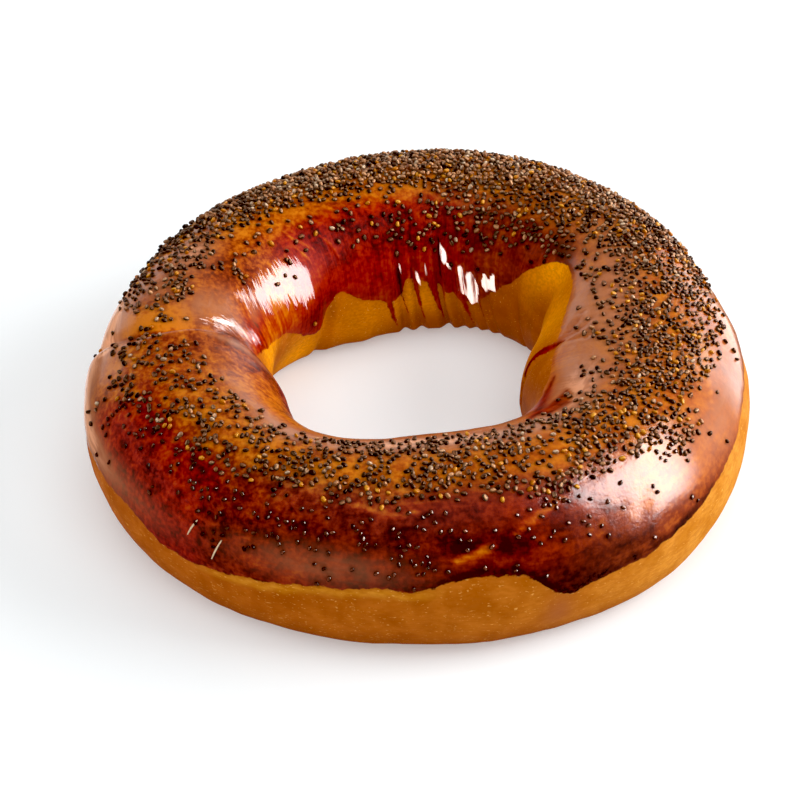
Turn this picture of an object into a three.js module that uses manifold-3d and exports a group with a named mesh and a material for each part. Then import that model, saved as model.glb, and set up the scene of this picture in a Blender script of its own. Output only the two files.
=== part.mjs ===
// A poppy seed bagel: a ring of dough rolled by hand, its two ends lapped at one side, baked flat on a tray.
// The hole's wall is gathered into pleats, and the crown carries poppy seeds stuck into the glaze.
// Millimetres, +Z up. The origin is the middle of the ring's footprint, on the surface that it lies on.

import * as THREE from "three";
import { mergeVertices } from "three/addons/utils/BufferGeometryUtils.js";
import Module from "manifold-3d";

// Driving dimensions of the ring
const outerRadius = 60; // mean, at the belly of the outside
const holeRadius = 26.6; // mean, at the belly of the hole's wall
const crownHeight = 31;
const outerBellyLevel = 0.43; // share of the height at which the outside is widest
const holeBellyLevel = 0.45; // share of the height at which the hole is narrowest
const footShare = 0.55; // share of the way from crown to belly at which the flat underside ends
const crownFullness = 2.1; // exponent of the arcs above the belly: 2 is an ellipse, more is squarer
const outerFootFullness = 2.2; // the same for the arc from the outside's belly down to the underside
const holeFootFullness = 2.4; // the same for the arc from the hole's belly down to the underside

// Unevenness of the hand-rolled ring: lobes of each wave, its size, and the angle of one of its high points
const outerWaves = [
  { lobes: 2, size: 0.8, at: 41 },
  { lobes: 3, size: 1.25, at: -40 },
];
const holeWaves = [
  { lobes: 1, size: 4.0, at: 139 },
  { lobes: 2, size: 2.4, at: 80 },
  { lobes: 3, size: 1.5, at: 52 },
  { lobes: 4, size: 1.9, at: -36 },
  { lobes: 5, size: 0.6, at: 24 },
];
// Where the hole is wider than its waves make it: angle, size, and half the angle over which it is so
const holeWidenings = [
  { at: -158, size: 1.3, half: 30 },
  { at: -122, size: 1.1, half: 22 },
];

// Places on the section are shares of the way round it, from the hole's foot over the crown to the outer
// foot, and angles are in degrees.

// The lap, where the front end of the rolled dough lies over the other end
const lapAngle = 186; // of the crease across the crown
const lapRise = 1.0; // of the upper end over the plain ring
const lapRiseFade = 26; // angle over which that rise dies away
const lapDip = 2.8; // of the lower end beside the crease
const lapDipFade = 7; // angle over which that dip dies away
const lapEdge = 3.6; // angle over which the upper end's round edge climbs
const lapAtFoot = [0.05, 0.3]; // where the lap grows from nothing at the hole's foot
const lapOverCrown = [0.46, 0.56]; // where it falls to what is left of it on the outside
const lapOutsideShare = 0.4;
const lapAtOuterFoot = [0.72, 0.95]; // where it dies out on the outside

// Creases and pleats that lean as they run over the section: the angle of the column in their middle, how
// far it leans, where that lean grows from nothing to whole, and the angles over which it dies away
const leans = [
  { at: 186, bend: 14, stretch: [0.41, 0.3], reach: [24, 48] },
  { at: 186, bend: -7, stretch: [0.55, 0.7], reach: [24, 48] },
  { at: 84, bend: -4, stretch: [0.33, 0.1], reach: [24, 40] },
  { at: 33, bend: 5, stretch: [0.42, 0.25], reach: [6, 28] },
];

// Pleats of the hole's wall: column, depth, half the width in degrees, and where they die out upwards
const pleats = [
  { at: -9, depth: 1.3, half: 4, top: [0.34, 0.41] },
  { at: 33, depth: 1.6, half: 8, top: [0.3, 0.43] },
  { at: 54, depth: 0.5, half: 4, top: [0.2, 0.36] },
  { at: 68, depth: 0.6, half: 2.2, top: [0.22, 0.33] },
  { at: 72, depth: 0.6, half: 2.2, top: [0.25, 0.36] },
  { at: 76, depth: 0.8, half: 2.2, top: [0.25, 0.36] },
  { at: 79.8, depth: 0.8, half: 2.2, top: [0.25, 0.37] },
  { at: 85, depth: 1.7, half: 2.6, top: [0.3, 0.4] },
  { at: 93.5, depth: 1.1, half: 2.4, top: [0.27, 0.38] },
  { at: 99, depth: 1.2, half: 2.6, top: [0.27, 0.38] },
  { at: 114, depth: -0.6, half: 5, top: [0.15, 0.3] },
  { at: 128, depth: 0.9, half: 4, top: [0.22, 0.34] },
];

// Swelling of the hole's wall beside the lap: column, place on the section, half its size, and height
const swellings = [{ at: 146, middle: 0.28, halfAngle: 20, halfAlong: 0.08, height: 3.0 }];

// Seeds: true size, with the share of each that stands out of the crust
const seedLength = 1.15;
const seedWidth = 0.95;
const seedThickness = 0.9;
const seedSizeSpread = 0.12; // largest departure from the mean size, as a share
const seedStandOut = 0.6;
const seedCount = 140;
const seedGap = 4.6; // least distance between two seeds where they lie thickest
const seedTries = 40000; // most draws of a place
const seedDraw = { start: 41, factor: 1664525, step: 1013904223 }; // of the random numbers

// Where seeds lie on the section, and the thin scatter of them on the hole's side of the crown at the back
const seedBandInside = [0.43, 0.49];
const seedBandOutside = [0.585, 0.66];
const scatterStart = [0.27, 0.31];
const scatterShare = 0.2; // of the thickness of the band
const scatterAngle = 75; // of its middle
const scatterReach = [38, 75]; // angles from its middle between which it dies away

// Faceting: rows over the section, and the step in degrees of each stretch of columns
const sectionRows = 24;
const columnRuns = [
  { from: -158, to: -26, step: 4.7 },
  { from: -26, to: -2, step: 2.4 },
  { from: -2, to: 62, step: 4.5 },
  { from: 62, to: 104, step: 1.08 },
  { from: 104, to: 178, step: 4.6 },
  { from: 178, to: 202, step: 1.6 },
];
const slopeStep = 1e-3; // share of the section over which its slope is measured
const seedStep = { angle: 0.5, along: 5e-3 }; // steps over which the crust's tilt under a seed is measured

const radians = THREE.MathUtils.degToRad;

// From 0 at the start of a stretch to 1 at its end, smoothly. A stretch may run either way.
function ramp(value, [from, to]) {
  return THREE.MathUtils.smoothstep((value - from) / (to - from), 0, 1);
}

// From 1 in the middle to nearly 0 at twice the half width.
function bell(away, half) {
  return Math.exp(-((away / half) ** 2));
}

// Degrees from one angle to another, the short way round.
function turnBetween(from, to) {
  return THREE.MathUtils.euclideanModulo(to - from + 180, 360) - 180;
}

// From 1 about a column to 0 past a reach of angles.
function nearColumn(at, column, reach) {
  return 1 - ramp(Math.abs(turnBetween(at, column)), reach);
}

function waved(mean, waves, angle) {
  const add = (sum, { lobes, size, at }) => sum + size * Math.cos(lobes * radians(angle - at));
  return waves.reduce(add, mean);
}

function holeRadiusAt(angle) {
  const widen = (sum, { at, size, half }) => sum + size * bell(turnBetween(at, angle), half);
  return holeWidenings.reduce(widen, waved(holeRadius, holeWaves, angle));
}

// How far the hole's wall is pushed back from the hole by the pleats.
function pleatDepth(column, along) {
  const depthAt = ({ at, depth, half, top }) =>
    depth * nearColumn(at, column, [0, half]) * (1 - ramp(along, top));
  return pleats.reduce((sum, pleat) => sum + depthAt(pleat), 0);
}

// How far a column leans from its own angle at a place on the section, to follow creases and pleats.
function columnLean(column, along) {
  const leanOf = ({ at, bend, stretch, reach }) =>
    bend * ramp(along, stretch) * nearColumn(at, column, reach);
  return leans.reduce((sum, lean) => sum + leanOf(lean), 0);
}

// How far the crust stands out of the plain ring at the swellings.
function swellingRelief(column, along) {
  const reliefOf = ({ at, middle, halfAngle, halfAlong, height }) =>
    height * bell(turnBetween(at, column), halfAngle) * bell(along - middle, halfAlong);
  return swellings.reduce((sum, swelling) => sum + reliefOf(swelling), 0);
}

// How far the crust stands out of the plain ring beside the lap's crease.
function lapRelief(column, along) {
  const past = turnBetween(lapAngle, column);
  const onOutside = 1 - (1 - lapOutsideShare) * ramp(along, lapOverCrown);
  const share = ramp(along, lapAtFoot) * onOutside * (1 - ramp(along, lapAtOuterFoot));
  if (past < 0) return -share * lapDip * Math.exp(past / lapDipFade);
  const edge = (lapRise + lapDip) * ramp(past, [0, lapEdge]) - lapDip;
  return share * edge * Math.exp(-past / lapRiseFade);
}

// Radius and height of the plain section. Along runs from 0 at the hole's foot, over the hole's belly at a
// quarter, the crown at a half and the outer belly at three quarters, to 1 at the outer foot.
function plainSection(angle, along) {
  const outside = waved(outerRadius, outerWaves, angle);
  const inside = holeRadiusAt(angle);
  const crown = (outside + inside) / 2;
  const halfWidth = (outside - inside) / 2;
  const side = along < 0.5 ? -1 : 1;
  const level = crownHeight * (side < 0 ? holeBellyLevel : outerBellyLevel);
  const fromCrown = Math.abs(along - 0.5) * 4;
  if (fromCrown <= 1) {
    const turn = (fromCrown * Math.PI) / 2;
    const power = 2 / crownFullness;
    const reach = halfWidth * Math.sin(turn) ** power;
    return { radius: crown + side * reach, height: level + (crownHeight - level) * Math.cos(turn) ** power };
  }
  const turn = (Math.min(fromCrown - 1, 1) * Math.PI) / 2;
  const power = 2 / (side < 0 ? holeFootFullness : outerFootFullness);
  const reach = halfWidth * (footShare + (1 - footShare) * Math.max(Math.cos(turn), 0) ** power);
  return { radius: crown + side * reach, height: level * (1 - Math.sin(turn) ** power) };
}

// A point of the crust, with the lap, the pleats and the swellings.
function crustPoint(column, along) {
  const angle = column + columnLean(column, along);
  const here = plainSection(angle, along);
  const before = plainSection(angle, Math.max(along - slopeStep, 0));
  const after = plainSection(angle, Math.min(along + slopeStep, 1));
  const slope = new THREE.Vector2(after.radius - before.radius, after.height - before.height).normalize();
  const relief = lapRelief(column, along) + swellingRelief(column, along);
  const radius = here.radius - slope.y * relief + pleatDepth(column, along);
  const height = here.height + slope.x * relief;
  return new THREE.Vector3(radius * Math.cos(radians(angle)), radius * Math.sin(radians(angle)), height);
}

function columnAngles() {
  return columnRuns.flatMap(({ from, to, step }) => {
    const count = Math.round((to - from) / step);
    return Array.from({ length: count }, (_, i) => from + ((to - from) * i) / count);
  });
}

// The bare ring: a closed skin of columns around the hole and rows over the section, with a flat underside.
function ringGeometry() {
  const angles = columnAngles();
  const around = sectionRows + 1;
  const points = angles.flatMap((angle) =>
    Array.from({ length: around }, (_, row) => crustPoint(angle, row / sectionRows)),
  );
  const corner = (column, row) => (column % angles.length) * around + (row % around);
  const faces = [];
  for (let column = 0; column < angles.length; column++) {
    for (let row = 0; row < around; row++) {
      const [a, b] = [corner(column, row), corner(column + 1, row)];
      const [c, d] = [corner(column + 1, row + 1), corner(column, row + 1)];
      faces.push(a, c, b, a, d, c);
    }
  }
  return new THREE.BufferGeometry().setFromPoints(points).setIndex(faces);
}

// Numbers from 0 to 1 that are the same on every run.
function randomDraw({ start, factor, step }) {
  let state = start;
  return () => {
    state = (Math.imul(state, factor) + step) >>> 0;
    return state / 2 ** 32;
  };
}

// How thickly seeds lie at a place on the crust, from 0 to 1.
function seedShare(column, along) {
  const atBack = nearColumn(scatterAngle, column, scatterReach);
  const scatter = scatterShare * atBack * ramp(along, scatterStart);
  return Math.max(ramp(along, seedBandInside), scatter) * (1 - ramp(along, seedBandOutside));
}

// Places for the seeds, spread evenly where they lie: a draw that comes too near an earlier one is dropped.
function seedPlaces(random) {
  const places = [];
  for (let i = 0; i < seedTries && places.length < seedCount; i++) {
    const column = 360 * random();
    const along = THREE.MathUtils.lerp(scatterStart[0], seedBandOutside[1], random());
    const share = seedShare(column, along);
    if (random() > share) continue;
    const point = crustPoint(column, along);
    const clearance = seedGap / Math.sqrt(Math.max(share, scatterShare));
    const isClear = places.every((other) => other.point.distanceTo(point) > clearance);
    if (isClear) places.push({ column, along, point });
  }
  return places;
}

// One seed, a rounded grain with few sides, sunk into the crust and turned at random about its normal.
function seedGeometry({ column, along, point }, random) {
  const forward = crustPoint(column + seedStep.angle, along).sub(point).normalize();
  const across = crustPoint(column, along + seedStep.along).sub(point);
  const normal = new THREE.Vector3().crossVectors(across, forward).normalize();
  const size = 1 + seedSizeSpread * (2 * random() - 1);
  const pose = new THREE.Matrix4()
    .makeBasis(forward, new THREE.Vector3().crossVectors(normal, forward), normal)
    .multiply(new THREE.Matrix4().makeRotationZ(2 * Math.PI * random()))
    .multiply(new THREE.Matrix4().makeScale(seedLength * size, seedWidth * size, seedThickness * size));
  const lift = (seedStandOut - 0.5) * seedThickness * size;
  const { x, y, z } = point.addScaledVector(normal, lift);
  return new THREE.IcosahedronGeometry(0.5, 0).applyMatrix4(pose).translate(x, y, z);
}

const wasm = await Module();
wasm.setup();

function solidOf(geometry) {
  const bare = geometry.clone();
  bare.deleteAttribute("normal");
  bare.deleteAttribute("uv");
  const merged = mergeVertices(bare);
  return new wasm.Manifold(
    new wasm.Mesh({
      numProp: 3,
      vertProperties: merged.getAttribute("position").array,
      triVerts: new Uint32Array(merged.index.array),
    }),
  );
}

function geometryOf(solid) {
  const { vertProperties, triVerts } = solid.getMesh();
  return new THREE.BufferGeometry()
    .setAttribute("position", new THREE.BufferAttribute(vertProperties, 3))
    .setIndex(new THREE.BufferAttribute(triVerts, 1));
}

// The ring and its seeds as one solid, moved so that the origin is in the middle of its footprint.
function bagelGeometry() {
  const random = randomDraw(seedDraw);
  const seeds = seedPlaces(random).map((place) => solidOf(seedGeometry(place, random)));
  const geometry = geometryOf(seeds.reduce((whole, seed) => whole.add(seed), solidOf(ringGeometry())));
  geometry.computeBoundingBox();
  const middle = geometry.boundingBox.getCenter(new THREE.Vector3());
  geometry.translate(-middle.x, -middle.y, -geometry.boundingBox.min.z);
  geometry.computeVertexNormals();
  return geometry;
}

const crust = new THREE.MeshStandardMaterial({ color: 0x9a4a12, roughness: 0.3, metalness: 0 });
const bagel = new THREE.Mesh(bagelGeometry(), crust);
bagel.name = "bagel";

const part = new THREE.Group();
part.add(bagel);

export default part;
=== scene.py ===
"""A glazed poppy seed bagel: a lapped ring of baked dough with a pleated hole and seeds on its crown.

Shapes are in millimetres, on the ring's own coordinates, until a mesh is made. A place on the crust has a
column, in degrees about +Z (0 at +X, 90 at the back), and a share of the way round the section, called along:
0 at the hole's foot, 0.25 at its belly, 0.5 on the crown, 0.75 at the outer belly, 1 at the outer foot.
"""

import math

import bmesh
import bpy
import numpy as np
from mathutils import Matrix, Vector, kdtree, noise


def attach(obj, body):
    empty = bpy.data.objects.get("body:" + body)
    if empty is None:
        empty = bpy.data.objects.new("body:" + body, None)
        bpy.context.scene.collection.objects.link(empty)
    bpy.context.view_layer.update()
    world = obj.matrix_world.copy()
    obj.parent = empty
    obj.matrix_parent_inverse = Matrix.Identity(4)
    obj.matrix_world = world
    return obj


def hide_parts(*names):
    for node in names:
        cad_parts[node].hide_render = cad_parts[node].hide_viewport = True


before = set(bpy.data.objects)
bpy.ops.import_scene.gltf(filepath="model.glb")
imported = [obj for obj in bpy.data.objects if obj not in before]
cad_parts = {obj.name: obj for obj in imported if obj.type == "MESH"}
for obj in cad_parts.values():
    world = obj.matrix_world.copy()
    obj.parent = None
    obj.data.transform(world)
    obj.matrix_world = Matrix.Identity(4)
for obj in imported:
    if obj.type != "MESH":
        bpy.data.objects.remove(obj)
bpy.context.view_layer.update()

METRES = 0.001

# The ring, with the driving dimensions of the solid that it replaces
OUTER_RADIUS = 60
HOLE_RADIUS = 26.6
CROWN_HEIGHT = 31
OUTER_BELLY_LEVEL = 0.43
HOLE_BELLY_LEVEL = 0.45
FOOT_SHARE = 0.55
CROWN_FULLNESS = 2.1
OUTER_FOOT_FULLNESS = 2.2
HOLE_FOOT_FULLNESS = 2.4
OUTER_WAVES = [(2, 0.8, 41), (3, 1.25, -40)]  # lobes, size, angle of a high point
HOLE_WAVES = [(1, 4, 139), (2, 2.4, 80), (3, 1.5, 52), (4, 1.9, -36), (5, 0.6, 24)]
HOLE_WIDENINGS = [(-158, 1.3, 30), (-122, 1.1, 22)]  # angle, size, half the angle over which it is so

# The lap of the two ends of the rolled dough
LAP_ANGLE = 186
LAP_RISE = 1
LAP_RISE_FADE = 26
LAP_DIP = 2.8
LAP_DIP_FADE = 7
LAP_EDGE = 3.6
LAP_AT_FOOT = (0.05, 0.3)
LAP_OVER_CROWN = (0.46, 0.56)
LAP_OUTSIDE_SHARE = 0.4
LAP_AT_OUTER_FOOT = (0.72, 0.95)
LAP_CREASE_DEPTH = 0.5
LAP_CREASE_HALF = 1.2

# Where columns lean: column, bend, along where it is gone and where it is whole, angles between which it ends
LEANS = [
    (LAP_ANGLE, 14, (0.41, 0.3), (24, 48)),
    (LAP_ANGLE, -7, (0.55, 0.7), (24, 48)),
    (84, -4, (0.33, 0.1), (24, 40)),
    (33, 5, (0.42, 0.25), (6, 28)),
]

# Pleats of the hole's wall: column, depth, half width in degrees, along over which they die out
PLEATS = [
    (-9, 1.3, 4, (0.34, 0.41)), (33, 1.6, 8, (0.3, 0.43)), (54, 0.5, 4, (0.2, 0.36)),
    (68, 0.6, 2.2, (0.22, 0.33)), (72, 0.6, 2.2, (0.25, 0.36)), (76, 0.8, 2.2, (0.25, 0.36)),
    (79.8, 0.8, 2.2, (0.25, 0.37)), (85, 1.7, 2.6, (0.3, 0.4)), (93.5, 1.1, 2.4, (0.27, 0.38)),
    (99, 1.2, 2.6, (0.27, 0.38)), (114, -0.6, 5, (0.15, 0.3)), (128, 0.9, 4, (0.22, 0.34)),
]
# Swelling of the hole's wall beside the lap: column, along, half angle, half along, height
SWELLINGS = [(146, 0.28, 20, 0.08, 3)]

# Mesh of the crust
COLUMNS = 600
ROWS = 152
BASE_ROWS = 8
SLOPE_STEP = 1e-3
LUMPS = [(0.3, 13, 3.1), (0.12, 5, 8.7), (0.04, 1.8, 2.2)]  # height, size, shift of the noise
PLAIN_FOOT = 0.06  # of along at either foot, free of lumps
BAKED_FOOT = 0.05  # of along at either foot, baked as the underside is
MARK_LIMIT = 8  # of what is stored for the material

# Where the glaze ends, on the outside and on the hole's wall: (column, along)
OUTER_GLAZE_EDGE = [
    (-180, 0.738), (-165, 0.74), (-150, 0.737), (-142, 0.732), (-138, 0.742), (-135, 0.756), (-129, 0.756),
    (-118, 0.741), (-106, 0.725), (-96, 0.716), (-93, 0.721), (-89, 0.717), (-85, 0.703), (-79, 0.698),
    (-73, 0.706), (-70, 0.735), (-66, 0.757), (-61, 0.742), (-52, 0.739), (-42, 0.727), (-30, 0.705),
    (-15, 0.686), (30, 0.7), (75, 0.73), (120, 0.7), (150, 0.72),
]
HOLE_GLAZE_EDGE = [
    (-172, 0.27), (-150, 0.25), (-90, 0.3), (-50, 0.31), (-39, 0.337), (-33, 0.342), (-28, 0.353),
    (-15, 0.374), (0, 0.39), (27, 0.394), (35, 0.388), (40, 0.37), (44, 0.345), (50, 0.315), (56, 0.287),
    (65, 0.25), (69, 0.235), (72, 0.22), (76, 0.212), (79.5, 0.234), (82, 0.238), (84.5, 0.245),
    (90.8, 0.262), (93, 0.26), (96.3, 0.275), (98.5, 0.235), (100.5, 0.232), (103.5, 0.225), (107, 0.238),
    (116, 0.255), (120, 0.272), (124.5, 0.275), (128, 0.25), (131, 0.215), (134, 0.206), (141, 0.23),
    (147, 0.262), (155, 0.285), (166, 0.318), (176, 0.335),
]
# Drips down the pleats: (column, along) points, half width at the top
DRIPS = [
    ([(104, 0.24), (103, 0.19), (102, 0.13)], 0.7),
    ([(98.3, 0.27), (98.2, 0.242), (97.2, 0.195), (96.5, 0.14)], 0.32),
    ([(92.7, 0.265), (92.2, 0.228), (92, 0.2), (91.5, 0.14)], 0.8),
    ([(86.6, 0.26), (86.4, 0.236), (86.2, 0.2), (86, 0.09)], 1.35),
    ([(83, 0.24), (83.3, 0.21), (84, 0.17)], 0.28), ([(77, 0.23), (76.4, 0.18), (76, 0.12)], 0.65),
    ([(71, 0.24), (70.8, 0.2), (70.6, 0.15)], 0.4),
]
DRIP_TIP = 0.12  # of the width at the top
EDGE_SOFTENING = (-0.8, -0.4, 0, 0.4, 0.8)  # degrees, to round a border's corners
ALONG_TO_MM = 90  # length of the whole of along, near the glaze's edges
RAGGED_EDGE = [(0.45, 3.2, 11.9), (0.15, 1.2, 5.3)]  # size, length, shift of the noise
GLAZE_FILM = 0.16  # thickness
GLAZE_FILM_EDGE = (-0.3, 0.5)  # distances from its edge over which it thickens

# Depth of the glaze, from 0, thin and orange, to 1, nearly black: bands, here and below, as (column, angles
# between which they end, along where they begin and are whole, amount), and pools as (column, along, half
# angle, half along, amount)
GLAZE_DEPTH_ON_CROWN = 0.16
GLAZE_BANDS = [(-105, (40, 60), (0.53, 0.6), 0.46), (84, (42, 66), (0.45, 0.38), 0.4)]
GLAZE_POOLS = [
    (-92, 0.64, 14, 0.045, 0.16), (-83, 0.651, 2.6, 0.012, 0.6), (-76.6, 0.655, 2, 0.01, 0.6),
    (-72, 0.63, 10, 0.05, 0.14), (-66, 0.725, 6, 0.025, 0.25), (-98, 0.62, 16, 0.03, 0.06),
    (-50, 0.7, 13, 0.03, 0.34), (-18, 0.64, 18, 0.04, 0.2), (-30, 0.69, 22, 0.03, 0.1),
    (38, 0.395, 8, 0.022, 0.35), (112, 0.36, 24, 0.06, 0.14), (140, 0.26, 14, 0.03, 0.3),
    (163, 0.325, 10, 0.025, 0.55), (-160, 0.55, 10, 0.08, 0.06), (-167, 0.45, 6, 0.13, 0.08),
    # (-174, 0.52, ...) darkens the glaze along the lap's crease: painted shade
    (-178.5, 0.57, 3.4, 0.09, -0.45), (-174, 0.52, 0.9, 0.12, 0.6), (-162, 0.315, 16, 0.02, 0.3),
    (-168, 0.37, 14, 0.05, 0.34), (-168, 0.61, 11, 0.04, -0.1), (156, 0.42, 14, 0.045, 0.22),
    (178, 0.4, 8, 0.05, 0.16), (-160, 0.44, 12, 0.05, 0.16), (163, 0.46, 8, 0.035, 0.26),
    (160, 0.37, 22, 0.06, 0.14), (172, 0.53, 10, 0.05, 0.1), (177, 0.59, 5, 0.05, 0.16),
    (-168, 0.5, 8, 0.06, 0.1), (100, 0.36, 22, 0.07, 0.06), (-118, 0.655, 34, 0.03, 0.08),
    (114, 0.415, 15, 0.03, 0.26), (-131, 0.7, 13, 0.035, 0.14), (-178, 0.4, 7, 0.04, 0.08),
]
# Mark of deep glaze on the hole's front edge, between two borders: (column, lower along, upper along)
WEDGE = [
    (-57, 0.46, 0.39), (-54.6, 0.414, 0.414), (-52.3, 0.409, 0.44), (-45, 0.405, 0.444), (-41, 0.407, 0.428),
    (-37.5, 0.409, 0.409), (-35, 0.46, 0.34),
]
WEDGE_DEPTH = 0.42
WEDGE_SOFT = (-0.3, 0.4)
# How red it is there, from brown at 0
RED_BANDS = [
    (-142, (10, 17), (0.54, 0.6), 0.9), (-98, (24, 44), (0.54, 0.6), 0.5), (108, (22, 42), (0.46, 0.38), 1),
    (84, (42, 66), (0.45, 0.37), 0.4),
]
RED_POOLS = [
    (146, 0.27, 20, 0.06, 1), (-52, 0.41, 9, 0.02, 0.7), (-42, 0.365, 13, 0.025, 1),
    (166, 0.335, 12, 0.03, 1), (-162, 0.31, 18, 0.025, 0.8), (-7, 0.33, 4, 0.07, 1),
    (-158, 0.55, 12, 0.06, 0.35), (112, 0.415, 17, 0.03, 0.5),
]
# Where it is mottled, and where it ran in streaks
MOTTLE_POOLS = [
    (-150, 0.55, 50, 0.2, 1), (100, 0.4, 60, 0.1, 0.5), (165, 0.45, 25, 0.08, 1), (170, 0.56, 20, 0.12, 1),
]
MOTTLE_EVERYWHERE = 0.45
STREAK_POOLS = [(157, 0.3, 18, 0.05, 1)]
# Darker rim where glaze gathered at its lower edge
RIM_POOLS = [(-75, 0.7, 26, 0.2, 0.4), (-42, 0.7, 14, 0.2, 0.5), (-140, 0.7, 40, 0.2, 0.12)]
RIM_PLACE = 0.5  # distance from the glaze's edge
RIM_WIDTH = 0.9
# Where the glaze dried matt
MATT_POOLS = [
    (-113, 0.7, 18, 0.045, 0.75), (-82, 0.68, 14, 0.06, 0.5), (-70, 0.62, 10, 0.06, 0.7),
    (-40, 0.7, 30, 0.035, 0.45), (-28, 0.635, 11, 0.1, 1.3), (-46, 0.42, 12, 0.035, 1.2),
    (-37, 0.36, 12, 0.04, 1), (136, 0.435, 34, 0.05, 1), (108, 0.35, 30, 0.09, 1.2),
    (150, 0.35, 22, 0.07, 1.2), (-174.5, 0.48, 2.5, 0.16, 1),
]
# Where a dull mauve sheen is painted into the glaze's colour, and the rim of the lap where it is painted too
SHEEN_PAINT_POOLS = [
    (-92, 0.447, 50, 0.028, 1.7), (2, 0.42, 32, 0.045, 0.9), (-36, 0.41, 13, 0.05, 0.95),
    (12, 0.48, 34, 0.035, 0.8), (-158, 0.712, 15, 0.028, 1.8), (-107, 0.69, 13, 0.028, 0.5),
    (-20, 0.645, 16, 0.05, 0.9), (173, 0.41, 7, 0.04, 0.75), (158, 0.348, 5, 0.014, 0.6),
    (160, 0.51, 7, 0.04, 0.95), (176, 0.46, 6, 0.04, 0.7), (166, 0.63, 14, 0.04, 2),
    (171, 0.55, 5, 0.04, 0.8), (-176, 0.67, 13, 0.06, 2), (154, 0.51, 5, 0.03, 0.7),
]
SHEEN_PAINT_RIMS = [
    [(-170.5, 0.465), (-169, 0.444), (-167.8, 0.42), (-167.6, 0.39), (-168, 0.36), (-169, 0.33)],
    [(-174.6, 0.582), (-172.6, 0.601), (-170.8, 0.617), (-169.6, 0.645)],
]
SHEEN_PAINT_RIM_HALF = 0.9
SHEEN_PAINT_RIM_SHARE = 0.8
SHEEN_PAINT_MOST = 2
# Bare dough: painted paler towards the light, yellow, in part painted light where the lamp falls on the
# hole's wall, stained by a drip
PALE_POOLS = [(-25, 0.8, 42, 0.3, 1)]
YELLOW_POOLS = [
    (38, 0.36, 9, 0.05, 1), (46, 0.3, 8, 0.05, 0.5), (116, 0.2, 12, 0.09, 0.5), (139, 0.15, 8, 0.09, 1),
    (160, 0.29, 10, 0.035, 1), (92, 0.225, 13, 0.04, 0.7), (12, 0.3, 15, 0.1, 0.9),
]
STAIN_POOLS = [(-67.5, 0.8, 2.6, 0.05, 0.7), (-178, 0.29, 6, 0.03, 0.45)]
# Pale line on the dough below the glaze: column, angles between which it ends, distance, half width
PALE_LINE = (-108, (14, 24), -0.7, 0.6)

FOLD = [(-5.3, 0.3), (-5.7, 0.326), (-6.8, 0.347), (-8.2, 0.367)]  # in the hole's right wall
# Lines on the crust, as (column, along) points, half width in millimetres, relief, change of glaze depth
LINES = [
    ([(-85.5, 0.675), (-81, 0.659), (-77, 0.647)], 0.8, 0.14, -0.8),
    ([(-75, 0.641), (-71.2, 0.624), (-67.5, 0.609), (-62.5, 0.593)], 0.75, 0.12, -0.6),
    ([(-106, 0.579), (-98, 0.595), (-94.5, 0.599), (-90.8, 0.59)], 0.6, 0.1, -0.45),
    ([(0, 0.584), (-8, 0.59), (-17.8, 0.602), (-24, 0.624)], 0.4, 0.14, -0.6),
    ([(133.9, 0.424), (133.1, 0.403), (131, 0.386), (127.5, 0.362)], 0.35, 0.08, -0.5),
    ([(133.8, 0.381), (132.2, 0.363), (131, 0.346)], 0.3, 0.08, -0.5),
    ([(125, 0.395), (122, 0.37), (120.5, 0.34)], 0.3, 0.08, -0.4),
    # This groove beside the big lip is also darkened: painted shade
    ([(84.1, 0.335), (83.7, 0.3), (83.4, 0.268)], 0.5, -0.12, 0.6),
    ([(98.7, 0.295), (98.4, 0.265), (98.2, 0.235)], 0.4, -0.08, 0.5),
    ([(94.4, 0.29), (94.1, 0.262)], 0.4, -0.08, 0.4),
    ([(-5.6, 0.25), *FOLD, (-9.8, 0.39)], 0.9, -0.2, 0.6),
    ([(-29, 0.368), (-35, 0.358), (-40, 0.36), (-47, 0.381), (-53, 0.407), (-58, 0.424)], 1.6, -0.1, 0.6),
    ([(-8, 0.395), (-2, 0.413), (4, 0.422)], 0.5, -0.25, 0.2),
    ([(-9, 0.4), (-5, 0.425), (0, 0.44)], 0.5, -0.22, 0.15),
    ([(-11, 0.4), (-11, 0.43), (-8, 0.45)], 0.5, -0.2, 0.15),
]
LINE_TIP = 0.25  # share of a line's width at its ends
DEEP_LINE_MATT = 1.6  # how matt lines are, for the glaze depth that they add
WALL_FLOW = (0.36, 0.45)  # along over which strokes turn from down the wall to round the ring
# Glaze that ran into the fold
FOLD_LINE = [(-5.6, 0.22), *FOLD, (-9.8, 0.395)]
FOLD_GLAZE_HALF = 0.75
FOLD_TIP = 0.4  # share of that width at its foot
# Lips of pleats and lap, where stretched glaze shines and a glint is painted into the colour: (column, along)
# points, half width
LIPS = [
    ([(83.3, 0.33), (82.6, 0.312), (81.7, 0.29)], 0.62), ([(92.2, 0.286), (91.4, 0.255)], 0.4),
    ([(98, 0.302), (97, 0.274)], 0.34), ([(89, 0.3), (88.4, 0.262)], 0.25),
    ([(179.2, 0.424), (178, 0.402), (175.5, 0.376)], 0.45), ([(177, 0.398), (174, 0.37), (170, 0.35)], 0.32),
    ([(173.4, 0.354), (169.4, 0.342), (166.5, 0.336)], 0.4),
]
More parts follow.
